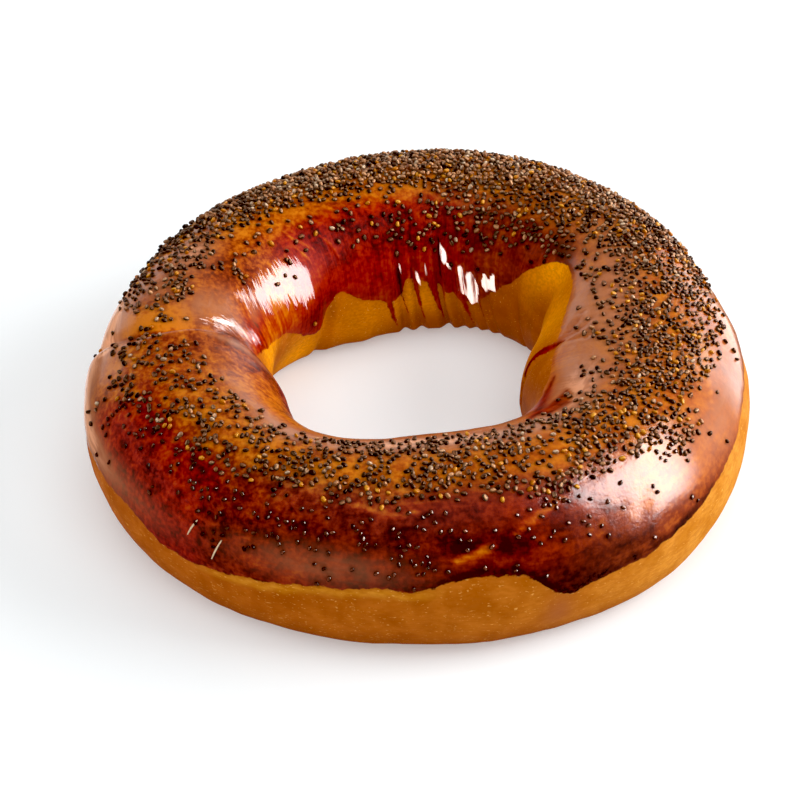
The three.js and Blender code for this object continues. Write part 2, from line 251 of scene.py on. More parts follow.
# Broad lip between two borders, as (column, lower along, upper along), torn by the pleats, with its glint
# painted too
LIP_PATCH = [
    (83, 0.32, 0.27), (81.2, 0.285, 0.296), (79, 0.262, 0.29), (77.4, 0.246, 0.286), (75.5, 0.226, 0.282),
    (73.8, 0.214, 0.278), (72, 0.22, 0.272), (70.6, 0.238, 0.262), (69.7, 0.26, 0.25), (68.8, 0.25, 0.276),
    (66, 0.246, 0.28), (64.2, 0.255, 0.28), (62.8, 0.29, 0.26),
]
LIP_FOLDS = (0.8, 9)  # to a degree, and to the whole of along
LIP_TEARS = [(1.1, 1, 4.4)]  # size, length in folds, shift of the noise
LIP_SOFT = (-0.1, 0.7)
LIP_GAPS = (1, 9.7)  # length in folds, shift of the noise
LIP_GAP_EDGE = (-0.4, -0.05)
# Colour of the glint painted on the lips
LIP_GLINT_PAINT = (2.6, 2.4, 2.25)  # brighter than white, for a glint
# Where the glaze shines like a mirror: a patch between two borders, and a streak by the lap
GLINT_PATCH = [
    (130, 0.4, 0.3), (133.5, 0.335, 0.335), (135.5, 0.291, 0.36), (139.5, 0.288, 0.363),
    (145.5, 0.308, 0.367), (151.5, 0.328, 0.369), (155, 0.346, 0.369), (158.3, 0.354, 0.382),
    (164.5, 0.385, 0.393), (168, 0.44, 0.34),
]
GLINT_STREAK = [(179.7, 0.436), (179, 0.415), (177, 0.39), (174, 0.365), (170, 0.347), (166, 0.336)]
GLINT_STREAK_HALF = 1.3
GLINT_TIP = 0.3  # share of the streak's width at its ends
GLINT_FACING = (0.595, -0.525, 0.607)  # direction that it faces there
GLINT_TURN = 0.85  # how far it is turned so

# Seeds: size, and where they lie, as (column, inner along, outer along, seeds to the square millimetre)
SEED_SIZE = (1.12, 0.8, 0.72)
SEED_SPREAD = 0.1  # of the size, twice that at most
GLAZED_SEED_SHARE = 0.84  # of that size, of seeds that the glaze ran over
SEED_SUNK = 0.28
SEED_GAP = 0.8
SEED_TRIES = 4  # draws for each seed, since some fall too near another
SEED_TILT = 0.4
NEARLY_UPRIGHT = 0.9
SEED_BEND = (0.44, 0.05)  # of a grain one unit long, and the shift that keeps it in the middle
SEED_WAIST = (0.25, 0.2)  # depth, half the length
SEED_BAND = [
    (-179, 0.49, 0.56, 0.1), (-171, 0.49, 0.61, 0.24), (-165, 0.48, 0.62, 0.2), (-150, 0.475, 0.6, 0.24),
    (-135, 0.45, 0.58, 0.42), (-120, 0.445, 0.57, 0.62), (-90, 0.44, 0.565, 0.72), (-60, 0.443, 0.572, 0.76),
    (-45, 0.46, 0.578, 0.9), (-30, 0.476, 0.575, 1.05), (-15, 0.484, 0.585, 1.05), (0, 0.482, 0.62, 0.95),
    (25, 0.472, 0.64, 0.9), (45, 0.44, 0.65, 1.1), (60, 0.435, 0.65, 1.3), (80, 0.44, 0.65, 1.55),
    (95, 0.462, 0.65, 1.55), (120, 0.472, 0.64, 1.4), (140, 0.482, 0.63, 0.85), (155, 0.485, 0.62, 0.5),
    (168, 0.47, 0.63, 0.42), (176, 0.48, 0.62, 0.3),
]
SEED_BAND_SOFT = (-0.022, 0.022)
SEED_CLUMPS = (4.5, 21.3)  # size, shift of the noise
SEED_CLUMP_EDGE = (-0.3, 0.12)
SEED_BETWEEN_CLUMPS = 0.2
SEED_FREE_EDGE = (0.3, 1.5)  # distances from the glaze's edge over which they begin
SEED_SCATTER = [
    (64, 0.395, 28, 0.05, 0.5), (0, 0.45, 45, 0.03, 0.09), (112, 0.4, 22, 0.05, 0.03),
    (145, 0.43, 25, 0.03, 0.03), (-100, 0.625, 46, 0.045, 0.06), (-127, 0.63, 24, 0.05, 0.045),
    (-100, 0.67, 20, 0.03, 0.04), (-160, 0.6, 25, 0.06, 0.015), (-36, 0.6, 4.5, 0.018, 1.3),
    (-66.8, 0.588, 1.8, 0.012, 2.5), (-90.8, 0.67, 1.2, 0.008, 2.5), (156.7, 0.406, 1.3, 0.016, 1.8),
    (170.8, 0.485, 1.8, 0.012, 1.6),
]
# Single seeds away from the others: (column, along)
SINGLE_SEEDS = [
    (-39.2, 0.706), (-40.3, 0.69), (135.5, 0.246), (139.5, 0.367), (139.6, 0.338), (146, 0.342), (-5, 0.66),
    (-3, 0.65),
]
# Seeds heaped on other seeds
HEAP_COLUMN = 85
HEAP_REACH = (35, 75)
HEAP_EDGE = [
    (20, 0.51), (55, 0.492), (69, 0.456), (80, 0.449), (94, 0.468), (106, 0.479), (123, 0.482), (150, 0.5),
]
HEAP_EDGE_SOFT = (-0.01, 0.012)
HEAP_DENSITY = 0.7
HEAP_EVENNESS = 0.8  # how far the gaps between clumps are filled
HEAP_LIFT = (0.4, 0.7)
# Share of each kind of seed, and share where they are heaped
SEED_KINDS = {
    "dark": (0.62, 0.14), "brown": (0.26, 0.18), "tan": (0.03, 0.43), "golden": (0.07, 0.1),
    "pale": (0.015, 0.16),
}
SEED_TOP = (0.31, 0.5)  # heights of a grain one unit long over which it turns from shaded sides to a painted lit top
# Tone of a seed's sides, painted in shade
SEED_SIDE_TONE = 0.06
# Seeds that the glaze ran over: columns, and along past which they are so
GLAZED_SEEDS = ((-155, -38), 0.59)
SEED_SHADE_REACH = 0.58  # reach of the shade painted on the crust round a seed
SEED_SHADE_LOST = 0.5  # share of that painted shade lost where sheen is painted
RANDOM_SEED = 7

# Two pale bristles stuck in the glaze: (column, along) points
BRISTLES = [
    [(-129.2, 0.677), (-129.8, 0.692), (-130.3, 0.708)],
    [(-124.4, 0.692), (-125.2, 0.711), (-125.9, 0.73)],
]
BRISTLE_HALF = 0.16
BRISTLE_TIP = 0.6  # share of that at its ends
BRISTLE_RAISED = 0.25
BRISTLE_SIDES = 8
BRISTLE_STEPS = 14

# Camera of the photograph: millimetres and degrees, on the ring's own coordinates
CAMERA_TARGET = (-4, -5.9, 15)
CAMERA_ELEVATION = 39
CAMERA_DISTANCE = 450
CAMERA_LENS = 111.7


def ramp(value, stretch):
    """From 0 at the start of a stretch to 1 at its end, smoothly."""
    share = np.clip((value - stretch[0]) / (stretch[1] - stretch[0]), 0, 1)
    return share * share * (3 - 2 * share)


def bell(value):
    """From 1 at 0 to nothing far from it."""
    return np.exp(-(value**2))


def unit(vectors):
    return vectors / np.linalg.norm(vectors, axis=-1, keepdims=True)


def turn_between(start, end):
    """Degrees from one angle to another, the short way round."""
    return (end - start + 180) % 360 - 180


def near(middle, column, reach):
    """From 1 about a column to 0 past a reach of angles."""
    return 1 - ramp(np.abs(turn_between(middle, column)), reach)


def waved(mean, waves, angle):
    return mean + sum(size * np.cos(lobes * np.radians(angle - at)) for lobes, size, at in waves)


def plain_section(angle, along):
    """Radius and height of the smooth ring's section."""
    outside = waved(OUTER_RADIUS, OUTER_WAVES, angle)
    widened = sum(size * bell(turn_between(at, angle) / half) for at, size, half in HOLE_WIDENINGS)
    inside = waved(HOLE_RADIUS, HOLE_WAVES, angle) + widened
    crown, half_width = (outside + inside) / 2, (outside - inside) / 2
    in_hole = along < 0.5
    side = np.where(in_hole, -1, 1)
    level = CROWN_HEIGHT * np.where(in_hole, HOLE_BELLY_LEVEL, OUTER_BELLY_LEVEL)
    from_crown = np.abs(along - 0.5) * 4
    upper = np.minimum(from_crown, 1) * np.pi / 2
    lower = np.clip(from_crown - 1, 0, 1) * np.pi / 2
    power_above = 2 / CROWN_FULLNESS
    power_below = 2 / np.where(in_hole, HOLE_FOOT_FULLNESS, OUTER_FOOT_FULLNESS)
    cos_upper, cos_lower = np.maximum(np.cos(upper), 0), np.maximum(np.cos(lower), 0)
    reach_below = FOOT_SHARE + (1 - FOOT_SHARE) * cos_lower**power_below
    reach = half_width * np.where(from_crown <= 1, np.sin(upper) ** power_above, reach_below)
    height_above = level + (CROWN_HEIGHT - level) * cos_upper**power_above
    height_below = level * (1 - np.sin(lower) ** power_below)
    return crown + side * reach, np.where(from_crown <= 1, height_above, height_below)


def pleat_depth(column, along):
    return sum(d * near(at, column, (0, half)) * (1 - ramp(along, top)) for at, d, half, top in PLEATS)


def column_lean(column, along):
    return sum(bend * ramp(along, stretch) * near(at, column, reach) for at, bend, stretch, reach in LEANS)


def lap_share(along):
    on_outside = 1 - (1 - LAP_OUTSIDE_SHARE) * ramp(along, LAP_OVER_CROWN)
    return ramp(along, LAP_AT_FOOT) * on_outside * (1 - ramp(along, LAP_AT_OUTER_FOOT))


def lap_relief(column, along):
    past = turn_between(LAP_ANGLE, column)
    edge = (LAP_RISE + LAP_DIP) * ramp(past, (0, LAP_EDGE)) - LAP_DIP
    upper = edge * np.exp(-np.maximum(past, 0) / LAP_RISE_FADE)
    lower = -LAP_DIP * np.exp(np.minimum(past, 0) / LAP_DIP_FADE)
    return lap_share(along) * np.where(past < 0, lower, upper)


def ring_points(column, along):
    """Points of the crust with its lap, pleats and swelling, as the solid has it."""
    angle = column + column_lean(column, along)
    radius, height = plain_section(angle, along)
    radius_before, height_before = plain_section(angle, np.maximum(along - SLOPE_STEP, 0))
    radius_after, height_after = plain_section(angle, np.minimum(along + SLOPE_STEP, 1))
    run, climb = radius_after - radius_before, height_after - height_before
    length = np.hypot(run, climb)
    relief = lap_relief(column, along) + pools(SWELLINGS, column, along)
    radius = radius - climb / length * relief + pleat_depth(column, along)
    height = height + run / length * relief
    turn = np.radians(angle)
    return np.stack([radius * np.cos(turn), radius * np.sin(turn), height], axis=-1)


def grid_normals(points):
    """Outward normals of a grid of points, columns first, closed around the hole."""
    around = np.roll(points, -1, axis=0) - np.roll(points, 1, axis=0)
    over = np.gradient(points, axis=1)
    return unit(np.cross(over, around))


def noise_on(points, size, shift):
    """Smooth noise from -1 to 1 with lumps of a size in millimetres."""
    flat = points.reshape(-1, 3) / size + shift
    return np.array([noise.noise(Vector(place)) for place in flat]).reshape(points.shape[:-1])


def lumps_on(points, kinds):
    """Sum of noises, each with its height, size and shift."""
    return sum(height * noise_on(points, size, shift) for height, size, shift in kinds)


def pools(places, column, along):
    """Sum of soft patches on the crust."""
    return sum(
        amount * np.exp(-((turn_between(at, column) / wide) ** 2) - ((along - middle) / long) ** 2)
        for at, middle, wide, long, amount in places
    )


def bands(places, column, along):
    """Sum of soft bands that run round the ring."""
    return sum(amount * near(at, column, reach) * ramp(along, edge) for at, reach, edge, amount in places)


def around_ring(knots, column, which=1):
    """A value given at some columns, for any column."""
    angles = [knot[0] for knot in knots]
    return np.interp(column, angles, [knot[which] for knot in knots], period=360)


def border(knots, column):
    """A border given at some columns, with its corners rounded."""
    return sum(around_ring(knots, column + step) for step in EDGE_SOFTENING) / len(EDGE_SOFTENING)


def distance_to_line(line, points):
    """Millimetres from points to a line of places on the crust, and the share of the line that is nearest."""
    knots = ring_points(*np.array(line, dtype=float).T)
    best, nearest = np.full(points.shape[:-1], np.inf), np.zeros(points.shape[:-1])
    for number, (start, end) in enumerate(zip(knots[:-1], knots[1:])):
        step = end - start
        share = np.clip((points - start) @ step / (step @ step), 0, 1)
        away = np.linalg.norm(points - start - share[..., None] * step, axis=-1)
        nearest = np.where(away < best, (number + share) / (len(knots) - 1), nearest)
        best = np.minimum(away, best)
    return best, nearest


def tapered(tip, share):
    """Share of a line's width, from its tips to its middle."""
    return tip + (1 - tip) * np.sin(np.pi * share)


def line_profile(line, half, points):
    """From 1 on a line to 0 past its half width, which tapers to its ends."""
    away, share = distance_to_line(line, points)
    return bell(away / (half * tapered(LINE_TIP, share)))


def glaze_distance(column, along, points):
    """Millimetres from the nearest edge of the glaze, positive under it."""
    outside = border(OUTER_GLAZE_EDGE, column) - along
    inside = along - border(HOLE_GLAZE_EDGE, column)
    edge = ALONG_TO_MM * np.minimum(outside, inside) + lumps_on(points, RAGGED_EDGE)
    for line, half in DRIPS:
        away, share = distance_to_line(line, points)
        edge = np.maximum(edge, half * (1 - (1 - DRIP_TIP) * share) - away)
    away, share = distance_to_line(FOLD_LINE, points)
    return np.maximum(edge, FOLD_GLAZE_HALF * (FOLD_TIP + (1 - FOLD_TIP) * share) - away)


def within(knots, column, along):
    """Millimetres from the edge of a patch between two borders, positive within."""
    lower, upper = around_ring(knots, column, 1), around_ring(knots, column, 2)
    return ALONG_TO_MM * np.minimum(along - lower, upper - along)


def glint_distance(column, along, points):
    """Millimetres from the edge of where the glaze shines, positive within."""
    away, share = distance_to_line(GLINT_STREAK, points)
    streak = GLINT_STREAK_HALF * tapered(GLINT_TIP, share) - away
    return np.maximum(within(GLINT_PATCH, column, along), streak)


def add_object(name, data):
    piece = bpy.data.objects.new(name, data)
    bpy.context.scene.collection.objects.link(piece)
    return piece


def new_mesh_object(name, points, faces, material):
    mesh = bpy.data.meshes.new(name)
    mesh.from_pydata(points.tolist(), [], faces)
    mesh.polygons.foreach_set("use_smooth", np.full(len(mesh.polygons), True))
    mesh.materials.append(material)
    mesh.update()
    return add_object(name, mesh)


def add_attribute(piece, name, values, kind="FLOAT", field="value"):
    layer = piece.data.attributes.new(name, kind, "POINT")
    layer.data.foreach_set(field, np.ascontiguousarray(values, dtype=np.float32).ravel())


class Nodes:
    """Nodes of a material or of the world, ahead of its shader."""

    def __init__(self, owner, shader="Principled BSDF"):
        owner.use_nodes = True
        self.owner, self.tree = owner, owner.node_tree
        self.shader = self.tree.nodes[shader]

    def fill(self, node, inputs):
        for name, value in inputs.items():
            if isinstance(value, bpy.types.NodeSocket):
                self.tree.links.new(value, node.inputs[name])
            else:
                node.inputs[name].default_value = value

    def finish(self, inputs):
        self.fill(self.shader, inputs)
        return self.owner

    def add(self, kind, inputs, output=0, **settings):
        node = self.tree.nodes.new(kind)
        for name, value in settings.items():
            setattr(node, name, value)
        self.fill(node, inputs)
        return node.outputs[output]

    def place(self):
        return self.add("ShaderNodeTexCoord", {}, "Object")

    def stored(self, name, output="Fac"):
        return self.add("ShaderNodeAttribute", {}, output, attribute_name=name)

    def mix(self, share, first, second):
        first, second = [(*c, 1) if isinstance(c, tuple) else c for c in (first, second)]
        return self.add("ShaderNodeMix", {0: share, 6: first, 7: second}, 2, data_type="RGBA")

    def mix_values(self, share, first, second):
        return self.add("ShaderNodeMix", {0: share, 2: first, 3: second})

    def math(self, operation, first, second):
        return self.add("ShaderNodeMath", {0: first, 1: second}, operation=operation)

    def times(self, first, second):
        return self.math("MULTIPLY", first, second)

    def total(self, first, *others):
        for other in others:
            first = self.math("ADD", first, other)
        return first

    def spread(self, value, stretch=(0, 1), to=(0, 1)):
        """From the first value at the start of a stretch to the second at its end, smoothly."""
        names = "Value", "From Min", "From Max", "To Min", "To Max"
        inputs = dict(zip(names, (value, *stretch, *to)))
        return self.add("ShaderNodeMapRange", inputs, interpolation_type="SMOOTHSTEP")

    def grain(self, place, scale, detail=3.0, distortion=0.0):
        inputs = {"Vector": place, "Scale": scale, "Detail": detail, "Distortion": distortion}
        return self.add("ShaderNodeTexNoise", inputs, "Fac")

    def brushed(self, scale, detail, distortion=0.0):
        """Noise drawn out along the strokes of the brush."""
        inputs = {"Vector": self.stored("brush", "Vector"), "Scale": scale}
        return self.grain(self.add("ShaderNodeMapping", inputs), 1, detail, distortion)

    def ramp(self, value, colours):
        """Colours in even steps from 0 to 1."""
        node = self.tree.nodes.new("ShaderNodeValToRGB")
        self.fill(node, {"Fac": value})
        elements = node.color_ramp.elements
        while len(elements) < len(colours):
            elements.new(0.5)
        for number, (element, colour) in enumerate(zip(elements, colours)):
            element.position = number / (len(colours) - 1)
            element.color = (*colour, 1)
        return node.outputs["Color"]


# Colours of the glaze by its depth
BROWN_GLAZE = [
    (0.62, 0.178, 0.009), (0.44, 0.09, 0.005), (0.23, 0.028, 0.002), (0.095, 0.009, 0.001),
    (0.02, 0.002, 0.0008),
]
RED_GLAZE = [
    (0.58, 0.15, 0.004), (0.45, 0.055, 0.002), (0.36, 0.012, 0.001), (0.2, 0.003, 0.0006),
    (0.055, 0.0015, 0.0005),
]
# Other colours of the crust, in pairs where noise mixes two
TAN_DOUGH = (0.355, 0.079, 0.006), (0.5, 0.13, 0.012)
# PALE_DOUGH is light painted on the dough
PALE_DOUGH = (0.57, 0.2, 0.01), (0.72, 0.3, 0.034)
BROWNED_DOUGH = (0.3, 0.064, 0.005)
# YELLOW_DOUGH is in part light painted on the hole's wall
YELLOW_DOUGH = (0.95, 0.36, 0.003)
STRIPED_DOUGH = (0.38, 0.085, 0.002)
FLECKED_DOUGH = (0.86, 0.46, 0.1)
STAINED_DOUGH = (0.36, 0.1, 0.03)
UNDERSIDE_DOUGH = (0.16, 0.045, 0.006), (0.42, 0.15, 0.02)
# Painted sheen: a dull mauve, and a paler one where it is strongest
SHEEN_PAINT_COLOURS = (0.43, 0.15, 0.064), (1, 0.46, 0.25)
# Painted shade on the crust round each seed
SEED_SHADE_COLOUR = (0.026, 0.002, 0.0004)
# Noises of the crust: scale, or scales for the brush's strokes, then detail and distortion
BLOTCHES = (190, 4, 0.3)
FINE_MOTTLE = (1150, 4, 0.2)
COARSE_MOTTLE = (420, 5, 0.3)
FRAY = (900, 3)
WRINKLES = (500, 3, 1.2)
CRUMB = (1800, 2)
ROUND_RING = ((9, 9, 75), 4, 0.7)
DOWN_WALL = ((60, 60, 8), 4, 0.5)
FLAMES = ((26, 26, 6), 3, 0.8)
SCRATCHES = ((150, 150, 18), 4, 0.6)
STRIPES = ((40, 40, 190), 3)
FLECKS = ((75, 75, 330), 2)
# Stretches of noise, height in metres and distance
WIDE = (0.3, 0.7)
NARROW = (0.35, 0.65)
FOOT_HEIGHT = (0, 0.009)
FRAY_REACH = (-0.14, 0.14)
# Most that the painted sheen covers of the glaze
SHEEN_PAINT_COVER = 0.9
SEED_SHADE_COVER = 0.75
CRUST_RELIEF = (0.28, 0.2, 0.4)  # of wrinkles, crumb and strokes


def dough_colour(n, place, blotches):
    """Bare dough: tan, painted paler where the light falls, browner at the foot, with fine pale flecks."""
    blotched, pale = n.spread(blotches, WIDE), n.stored("pale")
    dough = n.mix(pale, n.mix(blotched, *TAN_DOUGH), n.mix(blotched, *PALE_DOUGH))
    height = n.add("ShaderNodeSeparateXYZ", {"Vector": place}, "Z")
    browned = n.times(n.spread(height, FOOT_HEIGHT, (0.85, 0)), n.spread(pale, (0.2, 1), (1, 0.2)))
    dough = n.mix(browned, dough, BROWNED_DOUGH)
    # Yellow, in part painted light where the lamp falls on the hole's wall
    dough = n.mix(n.stored("yellow"), dough, YELLOW_DOUGH)
    dough = n.mix(n.spread(n.brushed(*STRIPES), NARROW, (0, 0.35)), dough, STRIPED_DOUGH)
    dough = n.mix(n.spread(n.brushed(*FLECKS), (0.63, 0.74), (0, 0.6)), dough, FLECKED_DOUGH)
    return n.mix(n.stored("stain"), dough, STAINED_DOUGH)


def glaze_colour(n, place, strokes, blotches):
    """Egg glaze, from thin and orange to deep red or nearly black, with a dull mauve sheen painted over it.
    """
    mottle = n.total(
        n.spread(n.grain(place, *FINE_MOTTLE), WIDE, (-0.18, 0.18)),
        n.spread(n.grain(place, *COARSE_MOTTLE), NARROW, (-0.12, 0.12)),
    )
    streaks = n.spread(n.brushed(*FLAMES), (0.36, 0.62), (-0.3, 0.16))
    depth = n.total(
        n.stored("glaze_depth"),
        n.spread(strokes, WIDE, (-0.08, 0.08)),
        n.spread(blotches, WIDE, (-0.1, 0.1)),
        n.times(mottle, n.stored("mottled")),
        n.times(streaks, n.stored("streaked")),
    )
    glaze = n.mix(n.stored("red"), n.ramp(depth, BROWN_GLAZE), n.ramp(depth, RED_GLAZE))
    # Painted sheen, mixed over the glaze's colour
    painted_sheen = n.times(n.stored("painted_sheen"), n.spread(strokes, (0.3, 0.6), (0.7, 1)))
    sheen_colour = n.mix(n.spread(painted_sheen, (0.8, 1.8)), *SHEEN_PAINT_COLOURS)
    return n.mix(n.math("MINIMUM", painted_sheen, SHEEN_PAINT_COVER), glaze, sheen_colour)


def crust_material():
    n = Nodes(bpy.data.materials.new("crust"))
    place, flow = n.place(), n.stored("flow")
    strokes = n.mix_values(flow, n.brushed(*ROUND_RING), n.brushed(*DOWN_WALL))
    blotches = n.grain(place, *BLOTCHES)
    cover = n.total(n.stored("glaze"), n.spread(n.grain(place, *FRAY), WIDE, FRAY_REACH))
    cover = n.spread(cover, FRAY_REACH)
    colour = n.mix(cover, dough_colour(n, place, blotches), glaze_colour(n, place, strokes, blotches))
    # Painted glint on the lips, brighter than white
    lip_glint = n.times(n.spread(n.stored("lip_glint"), (0.15, 0.6)), n.spread(strokes, (0.36, 0.5)))
    colour = n.mix(lip_glint, colour, LIP_GLINT_PAINT)
    # Painted shade round the seeds
    colour = n.mix(n.times(n.stored("painted_seed_shade"), SEED_SHADE_COVER), colour, SEED_SHADE_COLOUR)
    colour = n.mix(n.stored("underside"), colour, n.mix(n.spread(blotches, WIDE), *UNDERSIDE_DOUGH))

    gloss = n.times(cover, n.spread(n.stored("matt"), to=(0.95, 0)))
    gloss = n.times(gloss, n.mix_values(flow, 1, n.spread(strokes, (0.36, 0.52), (0.35, 1))))
    scratches = n.spread(n.brushed(*SCRATCHES), NARROW, (-1, 1))
    tears = n.total(n.spread(strokes, NARROW, (-0.7, 0.7)), scratches)
    glint = n.spread(n.total(n.stored("glint"), tears), (-0.1, 0.7))

    layers = zip((n.grain(place, *WRINKLES), n.grain(place, *CRUMB), strokes), CRUST_RELIEF)
    surface = n.total(*[n.times(layer, height) for layer, height in layers])
    bump = n.add("ShaderNodeBump", {"Height": surface, "Strength": 0.3, "Distance": 0.0004})
    to_world = {"vector_type": "NORMAL", "convert_from": "OBJECT", "convert_to": "WORLD"}
    facing = n.add("ShaderNodeVectorTransform", {"Vector": GLINT_FACING}, **to_world)
    turning = n.times(n.math("MAXIMUM", lip_glint, glint), GLINT_TURN)
    turned = n.add("ShaderNodeMix", {0: turning, 4: bump, 5: facing}, 1, data_type="VECTOR")
    return n.finish({
        "Base Color": colour,
        "Roughness": n.spread(cover, to=(0.6, 0.42)),
        "Coat Weight": n.math("MAXIMUM", gloss, glint),
        "Coat Roughness": 0.2,
        "Specular IOR Level": 0.03,
        "Normal": bump,
        "Coat Normal": n.add("ShaderNodeVectorMath", {0: turned}, operation="NORMALIZE"),
    })


# Seeds by kind: dark colour, light colour of the painted lit top, roughness, power of the random tone (the
# smaller, the lighter)
SEED_FINISH = {
    "dark": ((0.008, 0.001, 0.0002), (0.58, 0.25, 0.12), 0.3, 1.2),
    "brown": ((0.016, 0.0025, 0.0006), (1, 0.56, 0.3), 0.3, 1.2),
    "tan": ((0.17, 0.055, 0.018), (1, 0.54, 0.27), 0.32, 0.5),
    "golden": ((0.4, 0.11, 0.004), (1, 0.53, 0.07), 0.3, 0.5),
    "pale": ((0.22, 0.1, 0.045), (1, 0.8, 0.56), 0.32, 0.5),
    "glazed": ((0.03, 0.004, 0.001), (0.34, 0.1, 0.05), 0.14, 1.2),
}
SEED_SHINE = (0.28, (1, 0.5, 0.26, 1))  # strength, tint
GLAZED_SHINE = (0.65, (1, 0.86, 0.76, 1))
SEED_NETTING = 5200
BRISTLE_COLOURS = (0.7, 0.46, 0.24), (0.95, 0.74, 0.5)
BRISTLE_GRAIN = 2500


def seed_material(kind):
    n = Nodes(bpy.data.materials.new(f"seed_{kind}"))
    dark, light, roughness, _ = SEED_FINISH[kind]
    shine, tint = GLAZED_SHINE if kind == "glazed" else SEED_SHINE
    netting = n.add("ShaderNodeTexVoronoi", {"Vector": n.place(), "Scale": SEED_NETTING}, "Distance")
    tone = n.stored("tone")
    ridge = n.times(n.spread(netting, (0.25, 0.75), (0, 0.7)), tone)
    bump = {"Height": netting, "Strength": 0.5, "Distance": 0.00008}
    return n.finish({
        "Base Color": n.mix(ridge, n.mix(tone, dark, light), light),
        "Roughness": roughness,
        "Specular IOR Level": shine,
        "Specular Tint": tint,
        "Normal": n.add("ShaderNodeBump", bump),
    })


def bristle_material():
    n = Nodes(bpy.data.materials.new("bristle"))
    colour = n.mix(n.grain(n.place(), BRISTLE_GRAIN), *BRISTLE_COLOURS)
    return n.finish({"Base Color": colour, "Roughness": 0.35})


def make_crust():
    """Grid of the crust (column, along, points, normals), distance from the glaze's edge, the glaze's depth,
    and the shift that puts the ring's middle at the origin."""
    columns = np.arange(COLUMNS) * 360 / COLUMNS - 180
    alongs = np.linspace(0, 1, ROWS + 1)
    column, along = np.meshgrid(columns, alongs, indexing="ij")
    points = ring_points(column, along)
    flat = points[..., :2].reshape(-1, 2)
    shift = np.append((flat.max(0) + flat.min(0)) / 2, 0)
    normals = grid_normals(points)
    free = ramp(along, (0, PLAIN_FOOT)) * (1 - ramp(along, (1 - PLAIN_FOOT, 1)))
    past = turn_between(LAP_ANGLE, column)
    crease = -LAP_CREASE_DEPTH * bell(past / LAP_CREASE_HALF) * lap_share(along)
    glaze = glaze_distance(column, along, points)
    film = GLAZE_FILM * ramp(glaze, GLAZE_FILM_EDGE)
    marks = sum(relief * line_profile(line, half, points) for line, half, relief, _ in LINES)
    depth = GLAZE_DEPTH_ON_CROWN + bands(GLAZE_BANDS, column, along) + pools(GLAZE_POOLS, column, along)
    depth += sum(change * line_profile(line, half, points) for line, half, _, change in LINES)
    depth += WEDGE_DEPTH * ramp(within(WEDGE, column, along), WEDGE_SOFT)
    depth += pools(RIM_POOLS, column, along) * bell((glaze - RIM_PLACE) / RIM_WIDTH)
    relief = free * (lumps_on(points, LUMPS) + crease + film + marks)
    points = points + normals * relief[..., None] - shift
    return column, along, points, grid_normals(points), glaze, depth, shift


def crust_marks(column, along, places, glaze, depth, shade):
    """What the crust's material reads at each place, by name."""
    def share(kinds, more=0, most=1):
        return np.clip(pools(kinds, column, along) + more, 0, most)

    line_column, line_reach, line_place, line_half = PALE_LINE
    pale_line = near(line_column, column, line_reach) * bell((glaze - line_place) / line_half)
    deep = sum(change * line_profile(line, half, places) for line, half, _, change in LINES if change > 0)
    deep = np.maximum(DEEP_LINE_MATT * deep, ramp(within(WEDGE, column, along), WEDGE_SOFT)).clip(0, 1)
    # Painted sheen, in pools and along the lap's rims, none on deep lines
    rim = SHEEN_PAINT_RIM_SHARE * sum(line_profile(line, SHEEN_PAINT_RIM_HALF, places) for line in SHEEN_PAINT_RIMS)
    painted_sheen = share(SHEEN_PAINT_POOLS, rim, SHEEN_PAINT_MOST) * (1 - deep)
    # Painted glint on the lips of pleats and lap
    lip_glints = sum(line_profile(line, half, places) for line, half in LIPS)
    folds = np.stack([column * LIP_FOLDS[0], along * LIP_FOLDS[1], np.zeros_like(column)], axis=-1)
    torn = ramp(within(LIP_PATCH, column, along) + lumps_on(folds, LIP_TEARS), LIP_SOFT)
    torn = torn * ramp(noise_on(folds, *LIP_GAPS), LIP_GAP_EDGE)
    return {
        "glaze": glaze,
        "glaze_depth": depth,
        "red": share(RED_POOLS, bands(RED_BANDS, column, along)),
        "mottled": share(MOTTLE_POOLS, MOTTLE_EVERYWHERE),
        "streaked": share(STREAK_POOLS),
        "flow": 1 - ramp(along, WALL_FLOW),
        "pale": share(PALE_POOLS, pale_line),
        "yellow": share(YELLOW_POOLS),
        "stain": share(STAIN_POOLS),
        "matt": np.clip(np.maximum(pools(MATT_POOLS, column, along), deep), 0, 1),
        "painted_sheen": painted_sheen,
        "lip_glint": np.clip(np.maximum(lip_glints, torn), 0, 1),
        "glint": glint_distance(column, along, places),
        "painted_seed_shade": shade * (1 - SEED_SHADE_LOST * np.clip(painted_sheen, 0, 1)),
        "underside": ramp(along, (BAKED_FOOT, 0)) + ramp(along, (1 - BAKED_FOOT, 1)),
    }


